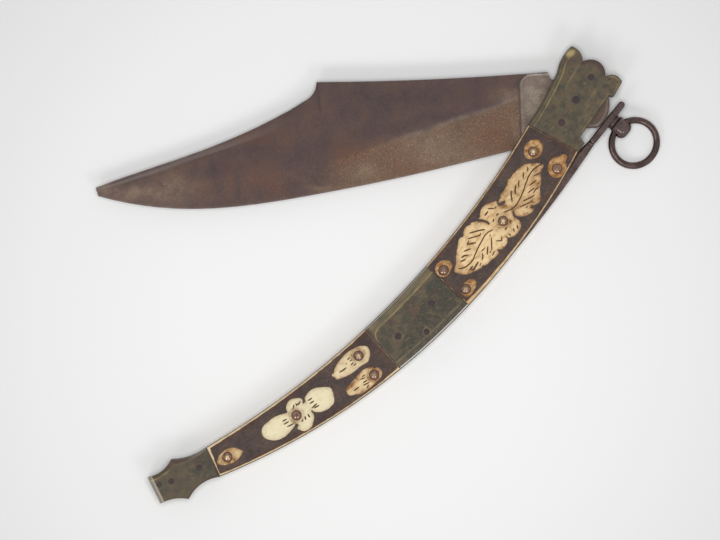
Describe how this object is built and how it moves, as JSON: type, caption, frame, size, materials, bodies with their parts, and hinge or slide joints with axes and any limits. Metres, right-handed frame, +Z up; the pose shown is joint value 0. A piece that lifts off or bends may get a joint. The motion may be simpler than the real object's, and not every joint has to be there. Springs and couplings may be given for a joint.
{
  "type": "folding knife with ring lock",
  "caption": "Large folding clip-point knife: curved handle with brass bolsters, bone scales carved with leaves on a dark ground, and a back spring lock lifted by a ring.",
  "frame": {"origin": "on the blade pivot's axis, in the plane of the lower bolster faces that the knife lies on", "axes": "+X along the handle from tail to head, +Y to the side where the blade folds in, +Z up through the side that is seen"},
  "size_m": [0.2499, 0.1437, 0.0132],
  "materials": {
    "blade_steel": "matte",
    "liner_iron": "matte",
    "spring_iron": "satin",
    "ring_iron": "satin",
    "pin_iron": "matte",
    "bolster_brass": "matte",
    "rivet_brass": "polished",
    "bone": "satin",
    "dark_ground": "satin"
  },
  "bodies": {
    "handle": {"pivot_pin": "pin_iron", "spring_pin": "pin_iron", "back_spacer": "liner_iron", "tail_pins": "pin_iron", "liner_front": "liner_iron", "liner_rear": "liner_iron", "head_bolster_front": "bolster_brass", "head_bolster_rear": "bolster_brass", "mid_bolster_front": "bolster_brass", "mid_bolster_rear": "bolster_brass", "tail_bolster_front": "bolster_brass", "tail_bolster_rear": "bolster_brass", "head_pins_front": "pin_iron", "head_pins_rear": "pin_iron", "mid_pins_front": "pin_iron", "mid_pins_rear": "pin_iron", "upper_scale_front": "bone", "upper_scale_rear": "bone", "upper_ground_front": "dark_ground", "upper_ground_rear": "dark_ground", "upper_rivets_front": "rivet_brass", "upper_rivets_rear": "rivet_brass", "lower_scale_front": "bone", "lower_scale_rear": "bone", "lower_ground_front": "dark_ground", "lower_ground_rear": "dark_ground", "lower_rivets_front": "rivet_brass", "lower_rivets_rear": "rivet_brass"},
    "blade": {"blade": "blade_steel"},
    "spring": {"back_spring": "spring_iron", "ring_eyelet": "spring_iron"},
    "ring": {"pull_ring": "ring_iron"}
  },
  "joints": [
    {"name": "blade_fold", "type": "hinge", "parent": "handle", "child": "blade", "pos_m": [0, 0, 0.0066], "axis": [0, 0, -1], "range_deg": [-33.5, 120]},
    {"name": "spring_lift", "type": "hinge", "parent": "handle", "child": "spring", "pos_m": [-0.1066, -0.0274, 0.0066], "axis": [0, 0, -1], "range_deg": [-0.45, 2], "stiffness_Nm_per_rad": 6, "springref_deg": -0.45},
    {"name": "ring_swing", "type": "hinge", "parent": "spring", "child": "ring", "pos_m": [0.00578, -0.01989, 0.0066], "axis": [-1, 0, 0], "range_deg": [-80, 115]}
  ]
}
